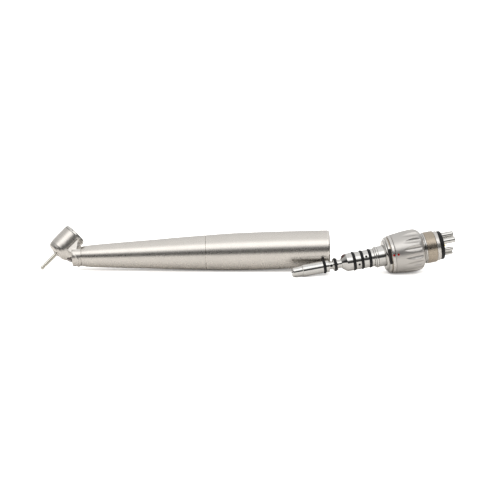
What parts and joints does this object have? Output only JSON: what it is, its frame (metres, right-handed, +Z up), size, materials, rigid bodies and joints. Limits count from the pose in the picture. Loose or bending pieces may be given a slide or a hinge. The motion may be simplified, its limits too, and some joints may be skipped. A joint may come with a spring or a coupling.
{
  "type": "high speed handpiece",
  "caption": "Angled-head dental turbine handpiece lying on its bur, with its quick-release hose coupler unplugged beside it.",
  "frame": {"origin": "on the table the two pieces lie on, under the middle of their common box", "axes": "+X along the handle from the head towards the hose end, +Y away from the front, +Z up"},
  "size_m": [0.1774, 0.0232, 0.0184],
  "materials": {
    "satin_steel": "bead blasted satin",
    "machined_steel": "fine turned",
    "bur_steel": "ground",
    "chrome": "polished",
    "bronze_thread": "brown-grey thread",
    "gold_contact": "gold plated",
    "black_seal": "nitrile",
    "light_glass": "brown fibre glass",
    "lens_glass": "dark red lens",
    "cage_phenolic": "phenolic with ceramic balls",
    "lamp_ceramic": "ceramic",
    "dark_plastic": "moulded",
    "red_paint": "enamel"
  },
  "bodies": {
    "handpiece": {"head_housing": "satin_steel", "back_cap": "machined_steel", "button_spring": "machined_steel", "front_bearing_outer_race": "machined_steel", "rear_bearing_outer_race": "machined_steel", "front_bearing_o_ring": "black_seal", "rear_bearing_o_ring": "black_seal", "light_window": "light_glass", "light_rod": "light_glass", "drive_air_tube": "machined_steel", "chip_air_tube": "machined_steel", "water_tube": "machined_steel", "tube_spacer": "machined_steel", "front_sleeve": "satin_steel", "rear_sleeve": "satin_steel", "coupling_socket": "machined_steel", "socket_o_ring": "black_seal"},
    "button": {"push_button": "machined_steel"},
    "rotor": {"spindle": "machined_steel", "impeller": "machined_steel", "chuck": "machined_steel", "front_bearing_inner_race": "machined_steel", "rear_bearing_inner_race": "machined_steel"},
    "bur": {"bur": "bur_steel"},
    "front_cage": {"front_bearing_cage": "cage_phenolic"},
    "rear_cage": {"rear_bearing_cage": "cage_phenolic"},
    "coupler": {"coupler_probe": "chrome", "probe_o_ring_1": "black_seal", "probe_o_ring_2": "black_seal", "probe_o_ring_3": "black_seal", "probe_o_ring_4": "black_seal", "probe_o_ring_5": "black_seal", "snap_ring": "chrome", "light_lens": "lens_glass", "led_module": "lamp_ceramic", "coupler_body": "machined_steel", "contact_strip": "dark_plastic", "index_ring": "satin_steel", "index_dot": "red_paint", "hose_thread_ring": "bronze_thread", "rear_ring": "chrome", "stub_block": "machined_steel", "hose_gasket": "black_seal", "exhaust_stub": "chrome", "drive_air_stub": "chrome", "water_stub": "chrome", "chip_air_stub": "chrome", "contact_pin_left": "gold_contact", "contact_pin_right": "gold_contact"},
    "spray_ring": {"adjusting_sleeve": "satin_steel", "sleeve_dot": "red_paint"}
  },
  "joints": [
    {"name": "rotor_spin", "type": "hinge", "parent": "handpiece", "child": "rotor", "pos_m": [-0.0834, 0.00222, 0.00539], "axis": [0.6865, 0.332, 0.647], "continuous": true},
    {"name": "front_cage_spin", "type": "hinge", "parent": "handpiece", "child": "front_cage", "pos_m": [-0.0834, 0.00222, 0.00539], "axis": [0.6865, 0.332, 0.647], "continuous": true},
    {"name": "rear_cage_spin", "type": "hinge", "parent": "handpiece", "child": "rear_cage", "pos_m": [-0.0834, 0.00222, 0.00539], "axis": [0.6865, 0.332, 0.647], "continuous": true},
    {"name": "bur_pull", "type": "slide", "parent": "rotor", "child": "bur", "axis": [-0.6865, -0.332, -0.647], "range_m": [0, 0.012]},
    {"name": "button_press", "type": "slide", "parent": "handpiece", "child": "button", "axis": [-0.6865, -0.332, -0.647], "range_m": [0, 0.0005], "stiffness_N_per_m": 2000, "springref_m": -0.0005},
    {"name": "coupler_draw", "type": "slide", "parent": "handpiece", "child": "coupler", "axis": [1, 0, 0], "range_m": [0, 0.04]},
    {"name": "spray_ring_turn", "type": "hinge", "parent": "coupler", "child": "spray_ring", "pos_m": [0.06733, -0.00164, 0.00897], "axis": [0.9766, 0.1617, 0.1418], "range_deg": [0, 90]}
  ],
  "couplings": [
    {"joint": "front_cage_spin", "follows": "rotor_spin", "ratio": 0.3922},
    {"joint": "rear_cage_spin", "follows": "rotor_spin", "ratio": 0.3922}
  ]
}
